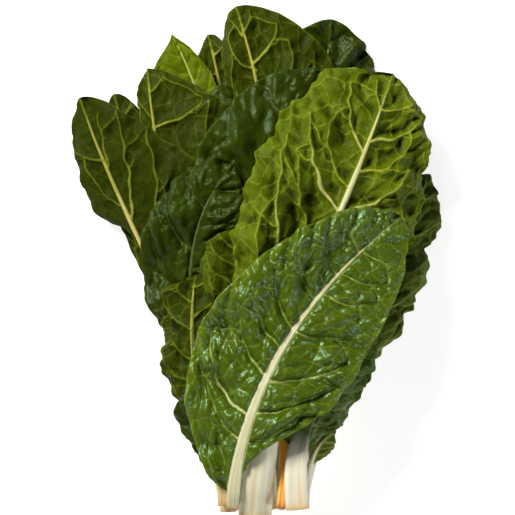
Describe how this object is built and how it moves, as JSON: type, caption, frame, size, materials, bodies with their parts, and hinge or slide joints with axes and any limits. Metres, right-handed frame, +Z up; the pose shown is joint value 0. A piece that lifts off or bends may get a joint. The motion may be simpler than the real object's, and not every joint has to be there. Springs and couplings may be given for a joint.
{
  "type": "swiss chard bunch",
  "caption": "Loose bunch of fresh white-stalked chard lying flat, broad glossy green leaves over pale cut stalks.",
  "frame": {"origin": "middle of the bunch's footprint, on the surface that it lies on", "axes": "+Z up from that surface; +Y from the cut stalks towards the leaf tips; +X to the right of the front leaf"},
  "size_m": [0.2672, 0.3728, 0.1006],
  "materials": {
    "cream_stalk": "satin",
    "tan_stalk": "satin",
    "ochre_stalk": "satin",
    "dark_leaf": "satin",
    "light_leaf": "satin",
    "young_leaf": "satin"
  },
  "bodies": {
    "root": {"back_middle_stalk": "cream_stalk", "back_middle_blade": "dark_leaf", "back_left_stalk": "cream_stalk", "back_left_blade": "dark_leaf", "back_right_stalk": "cream_stalk", "back_right_blade": "dark_leaf", "top_right_stalk": "cream_stalk", "top_right_blade": "dark_leaf", "grey_tip_stalk": "cream_stalk", "grey_tip_blade": "light_leaf", "far_tip_stalk": "cream_stalk", "far_tip_blade": "dark_leaf", "right_low_stalk": "cream_stalk", "right_low_blade": "light_leaf", "right_high_stalk": "cream_stalk", "right_high_blade": "light_leaf", "pointed_stalk": "cream_stalk", "pointed_blade": "young_leaf", "shaded_stalk": "cream_stalk", "shaded_blade": "dark_leaf", "second_left_stalk": "cream_stalk", "second_left_blade": "light_leaf", "top_middle_stalk": "cream_stalk", "top_middle_blade": "light_leaf", "far_left_stalk": "cream_stalk", "far_left_blade": "dark_leaf", "middle_stalk": "ochre_stalk", "middle_blade": "dark_leaf", "small_twist_stalk": "cream_stalk", "small_twist_blade": "light_leaf", "glossy_right_stalk": "cream_stalk", "glossy_right_blade": "dark_leaf", "folded_stalk": "cream_stalk", "folded_blade": "dark_leaf", "low_left_stalk": "cream_stalk", "low_left_blade": "light_leaf", "low_front_stalk": "tan_stalk", "low_front_blade": "dark_leaf", "young_stalk": "cream_stalk", "young_blade": "young_leaf", "broad_stalk": "cream_stalk", "broad_blade": "light_leaf", "front_stalk": "cream_stalk", "front_blade": "dark_leaf"}
  },
  "joints": []
}
